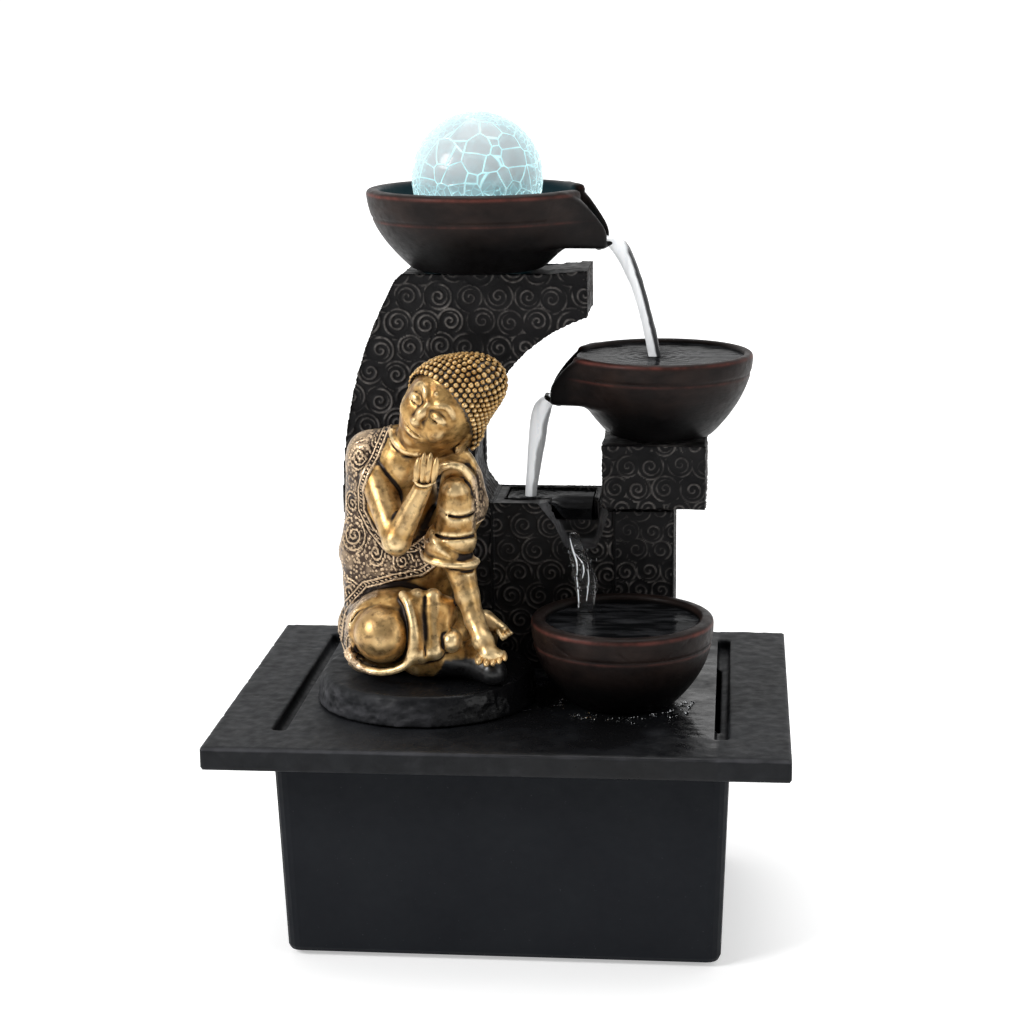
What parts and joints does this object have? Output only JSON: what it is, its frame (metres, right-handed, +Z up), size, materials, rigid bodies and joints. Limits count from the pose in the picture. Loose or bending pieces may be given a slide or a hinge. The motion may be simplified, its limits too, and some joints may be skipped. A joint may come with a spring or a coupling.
{
  "type": "tabletop water fountain",
  "caption": "Tabletop fountain: dark tub under a slate deck, carved curved wall, cascading bowls, lit glass globe, seated gilt figure and hidden pump.",
  "frame": {"origin": "on the surface the fountain stands on, under the middle of the deck (bottom centre of the whole object's box)", "axes": "+Z up, front of the fountain faces -Y, +X to the viewer's right"},
  "size_m": [0.2, 0.155, 0.291],
  "materials": {
    "tub_resin": "satin",
    "deck_slate": "matte",
    "carved_resin": "matte",
    "bronzed_resin": "satin",
    "antique_gold": "satin",
    "crackle_glass": "gloss",
    "clear_lens": "gloss",
    "clear_hose": "satin",
    "black_rubber": "matte",
    "pump_plastic": "satin",
    "dial_grey": "satin",
    "filter_foam": "matte",
    "core_iron": "satin",
    "copper_coil": "satin",
    "potting_resin": "matte",
    "ferrite": "matte",
    "impeller_white": "satin",
    "white_ceramic": "gloss",
    "lamp_white": "satin",
    "circuit_board": "satin",
    "plated_steel": "satin"
  },
  "bodies": {
    "tub": {"reservoir_tub": "tub_resin", "cable_grommet": "black_rubber", "foot_front_left": "black_rubber", "foot_front_right": "black_rubber", "foot_rear_left": "black_rubber", "foot_rear_right": "black_rubber"},
    "fountain": {"deck": "deck_slate", "plinth": "deck_slate", "arch": "carved_resin", "channel_cover": "carved_resin", "trough": "carved_resin", "pillar": "carved_resin", "bracket_block": "carved_resin", "cover_screw_1": "plated_steel", "cover_screw_2": "plated_steel", "cover_screw_3": "plated_steel", "top_bowl": "bronzed_resin", "middle_bowl": "bronzed_resin", "lower_bowl": "bronzed_resin", "seated_figure": "antique_gold", "globe_seat": "black_rubber", "lamp_housing": "lamp_white", "lamp_board": "circuit_board", "led_1": "lamp_white", "led_2": "lamp_white", "led_3": "lamp_white", "lamp_lens": "clear_lens", "lamp_lead": "black_rubber", "lead_gland": "black_rubber", "riser_hose": "clear_hose", "hose_collar": "black_rubber", "pump_housing": "pump_plastic", "pump_volute": "pump_plastic", "stator_core": "core_iron", "stator_coil": "copper_coil", "potting": "potting_resin", "pump_shaft": "white_ceramic", "front_bush": "black_rubber", "rear_bush": "black_rubber", "suction_cup_1": "black_rubber", "suction_cup_2": "black_rubber", "suction_cup_3": "black_rubber", "suction_cup_4": "black_rubber"},
    "globe": {"globe": "crackle_glass"},
    "rotor": {"rotor_magnet": "ferrite", "impeller": "impeller_white"},
    "strainer": {"strainer_cover": "pump_plastic", "foam_filter": "filter_foam"},
    "dial": {"flow_dial": "dial_grey"}
  },
  "joints": [
    {"name": "deck_lift", "type": "slide", "parent": "tub", "child": "fountain", "axis": [0, 0, 1], "range_m": [0, 0.11]},
    {"name": "globe_lift", "type": "slide", "parent": "fountain", "child": "globe", "axis": [0, 0, 1], "range_m": [0, 0.06]},
    {"name": "impeller_spin", "type": "hinge", "parent": "fountain", "child": "rotor", "pos_m": [-0.0295, 0.038, 0.024], "axis": [1, 0, 0], "continuous": true},
    {"name": "strainer_pull", "type": "slide", "parent": "fountain", "child": "strainer", "axis": [-1, 0, 0], "range_m": [0, 0.014]},
    {"name": "dial_turn", "type": "hinge", "parent": "strainer", "child": "dial", "pos_m": [-0.0515, 0.038, 0.024], "axis": [1, 0, 0], "range_deg": [0, 90]}
  ]
}
